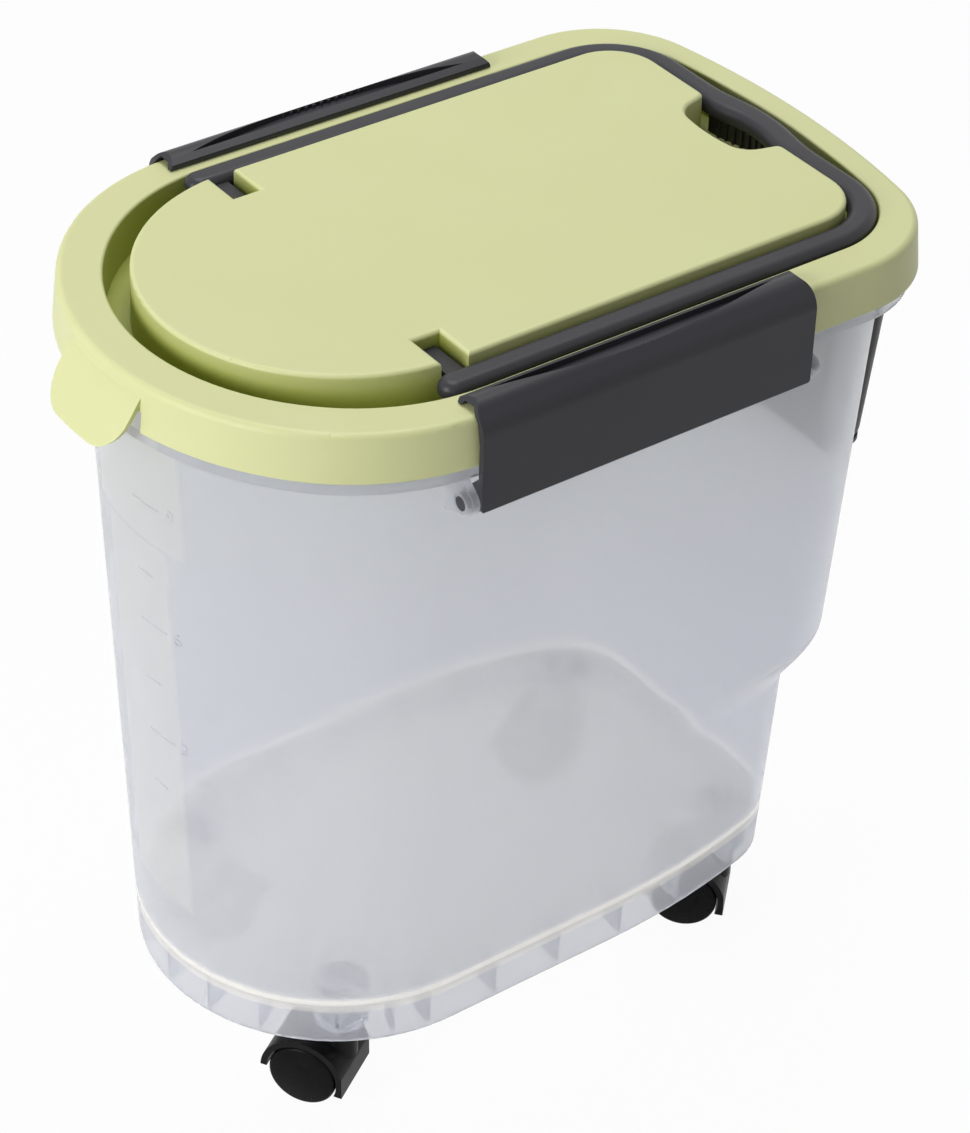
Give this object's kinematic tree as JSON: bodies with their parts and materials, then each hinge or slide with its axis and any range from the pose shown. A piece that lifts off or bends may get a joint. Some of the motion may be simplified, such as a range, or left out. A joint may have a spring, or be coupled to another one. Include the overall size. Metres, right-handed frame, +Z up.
{
  "type": "pet food storage box",
  "caption": "Rolling see-through tub for dry pet food, with a rounded nose, a lid with a sunk bail handle, side latches, casters and a hung scoop.",
  "frame": {"origin": "on the ground under the middle of the box's overall length and width", "axes": "+Z up, -X towards the rounded nose, +Y across the box to its right side"},
  "size_m": [0.43, 0.271, 0.4406],
  "materials": {
    "tub_clear": "translucent, lightly frosted",
    "lid_green": "satin",
    "seal_soft": "matt",
    "trim_grey": "satin",
    "caster_black": "satin",
    "wheel_black": "semi-gloss",
    "steel": "plain",
    "scoop_black": "satin"
  },
  "bodies": {
    "tub": {"container": "tub_clear", "caster_front_left_stem": "steel", "caster_front_right_stem": "steel", "caster_rear_left_stem": "steel", "caster_rear_right_stem": "steel"},
    "lid": {"lid": "lid_green", "lid_seal": "seal_soft"},
    "handle": {"handle": "trim_grey"},
    "latch_left": {"latch_left": "trim_grey"},
    "latch_right": {"latch_right": "trim_grey"},
    "scoop": {"scoop": "scoop_black"},
    "caster_front_left_swivel": {"caster_front_left_fork": "caster_black", "caster_front_left_axle": "steel"},
    "caster_front_left_wheel_inner": {"caster_front_left_wheel_inner": "wheel_black"},
    "caster_front_left_wheel_outer": {"caster_front_left_wheel_outer": "wheel_black"},
    "caster_front_right_swivel": {"caster_front_right_fork": "caster_black", "caster_front_right_axle": "steel"},
    "caster_front_right_wheel_inner": {"caster_front_right_wheel_inner": "wheel_black"},
    "caster_front_right_wheel_outer": {"caster_front_right_wheel_outer": "wheel_black"},
    "caster_rear_left_swivel": {"caster_rear_left_fork": "caster_black", "caster_rear_left_axle": "steel"},
    "caster_rear_left_wheel_inner": {"caster_rear_left_wheel_inner": "wheel_black"},
    "caster_rear_left_wheel_outer": {"caster_rear_left_wheel_outer": "wheel_black"},
    "caster_rear_right_swivel": {"caster_rear_right_fork": "caster_black", "caster_rear_right_axle": "steel"},
    "caster_rear_right_wheel_inner": {"caster_rear_right_wheel_inner": "wheel_black"},
    "caster_rear_right_wheel_outer": {"caster_rear_right_wheel_outer": "wheel_black"}
  },
  "joints": [
    {"name": "latch_left_swing", "type": "hinge", "parent": "tub", "child": "latch_left", "pos_m": [0.0025, -0.129, 0.392], "axis": [1, 0, 0], "range_deg": [0, 165]},
    {"name": "latch_right_swing", "type": "hinge", "parent": "tub", "child": "latch_right", "pos_m": [0.0025, 0.129, 0.392], "axis": [-1, 0, 0], "range_deg": [0, 165]},
    {"name": "lid_lift", "type": "slide", "parent": "tub", "child": "lid", "axis": [0, 0, 1], "range_m": [0, 0.0235]},
    {"name": "handle_swing", "type": "hinge", "parent": "lid", "child": "handle", "pos_m": [-0.0762, 0, 0.4295], "axis": [0, -1, 0], "range_deg": [0, 95]},
    {"name": "scoop_lift", "type": "slide", "parent": "tub", "child": "scoop", "axis": [0, 0, 1], "range_m": [0, 0.0095]},
    {"name": "caster_front_left_turn", "type": "hinge", "parent": "tub", "child": "caster_front_left_swivel", "pos_m": [-0.1168, -0.0682, 0.05], "axis": [0, 0, 1], "continuous": true},
    {"name": "caster_front_left_wheel_inner_roll", "type": "hinge", "parent": "caster_front_left_swivel", "child": "caster_front_left_wheel_inner", "pos_m": [-0.12432, -0.05639, 0.018], "axis": [0.8434, 0.5373, 0], "continuous": true},
    {"name": "caster_front_left_wheel_outer_roll", "type": "hinge", "parent": "caster_front_left_swivel", "child": "caster_front_left_wheel_outer", "pos_m": [-0.12432, -0.05639, 0.018], "axis": [0.8434, 0.5373, 0], "continuous": true},
    {"name": "caster_front_right_turn", "type": "hinge", "parent": "tub", "child": "caster_front_right_swivel", "pos_m": [-0.1168, 0.0682, 0.05], "axis": [0, 0, 1], "continuous": true},
    {"name": "caster_front_right_wheel_inner_roll", "type": "hinge", "parent": "caster_front_right_swivel", "child": "caster_front_right_wheel_inner", "pos_m": [-0.10316, 0.07135, 0.018], "axis": [0.225, -0.9744, 0], "continuous": true},
    {"name": "caster_front_right_wheel_outer_roll", "type": "hinge", "parent": "caster_front_right_swivel", "child": "caster_front_right_wheel_outer", "pos_m": [-0.10316, 0.07135, 0.018], "axis": [0.225, -0.9744, 0], "continuous": true},
    {"name": "caster_rear_left_turn", "type": "hinge", "parent": "tub", "child": "caster_rear_left_swivel", "pos_m": [0.1235, -0.0682, 0.05], "axis": [0, 0, 1], "continuous": true},
    {"name": "caster_rear_left_wheel_inner_roll", "type": "hinge", "parent": "caster_rear_left_swivel", "child": "caster_rear_left_wheel_inner", "pos_m": [0.11378, -0.05813, 0.018], "axis": [0.7193, 0.6947, 0], "continuous": true},
    {"name": "caster_rear_left_wheel_outer_roll", "type": "hinge", "parent": "caster_rear_left_swivel", "child": "caster_rear_left_wheel_outer", "pos_m": [0.11378, -0.05813, 0.018], "axis": [0.7193, 0.6947, 0], "continuous": true},
    {"name": "caster_rear_right_turn", "type": "hinge", "parent": "tub", "child": "caster_rear_right_swivel", "pos_m": [0.1235, 0.0682, 0.05], "axis": [0, 0, 1], "continuous": true},
    {"name": "caster_rear_right_wheel_inner_roll", "type": "hinge", "parent": "caster_rear_right_swivel", "child": "caster_rear_right_wheel_inner", "pos_m": [0.11581, 0.0799, 0.018], "axis": [0.8358, 0.549, 0], "continuous": true},
    {"name": "caster_rear_right_wheel_outer_roll", "type": "hinge", "parent": "caster_rear_right_swivel", "child": "caster_rear_right_wheel_outer", "pos_m": [0.11581, 0.0799, 0.018], "axis": [0.8358, 0.549, 0], "continuous": true}
  ],
  "couplings": [
    {"joint": "latch_left_swing", "follows": "lid_lift", "rad_per_m": 122.5},
    {"joint": "latch_right_swing", "follows": "lid_lift", "rad_per_m": 122.5}
  ]
}
